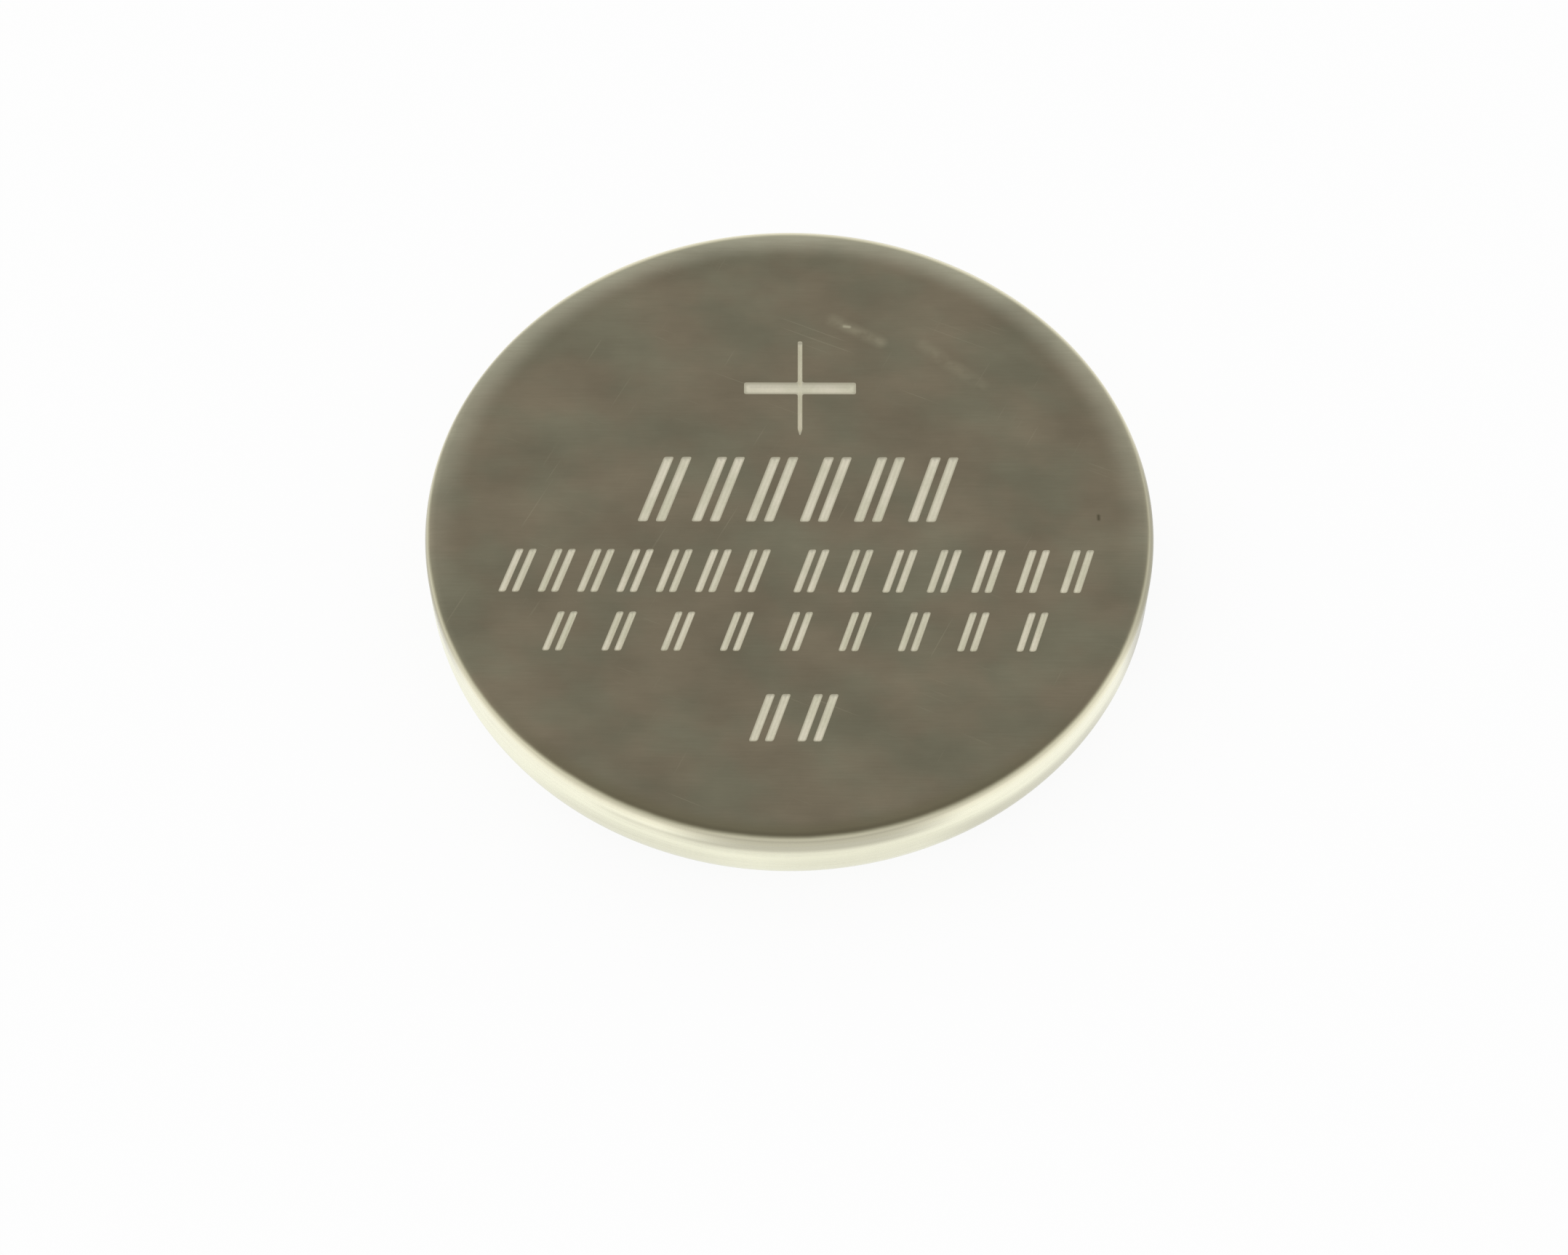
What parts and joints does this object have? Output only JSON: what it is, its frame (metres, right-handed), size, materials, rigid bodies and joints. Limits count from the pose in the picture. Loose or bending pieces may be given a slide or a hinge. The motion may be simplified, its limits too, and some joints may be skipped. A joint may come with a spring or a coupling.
{
  "type": "lithium coin cell",
  "caption": "Flat round lithium cell: a steel can with a rolled edge holds a stepped cap in a plastic gasket; polarity mark on the wide face.",
  "frame": {"origin": "centre of the negative contact face, which the cell rests on", "axes": "+Z is the cell's axis, from the negative to the positive contact face; +Y points to the polarity mark's side of the face"},
  "size_m": [0.02, 0.02, 0.0025],
  "materials": {
    "can_steel": "satin nickel plate on stainless steel, warm grey",
    "gasket_plastic": "natural polypropylene, milky and smooth",
    "cap_steel": "fine satin stainless steel",
    "lithium_metal": "soft rolled metal, dull silver",
    "separator_cloth": "thin non-woven polypropylene, matt white",
    "cathode_mix": "pressed manganese dioxide and carbon powder, matt black",
    "mesh_steel": "slit and stretched stainless steel"
  },
  "bodies": {
    "root": {"positive_can": "can_steel", "gasket": "gasket_plastic", "negative_cap": "cap_steel", "lithium_disc": "lithium_metal", "separator": "separator_cloth", "cathode_pellet": "cathode_mix", "collector_mesh": "mesh_steel"}
  },
  "joints": []
}
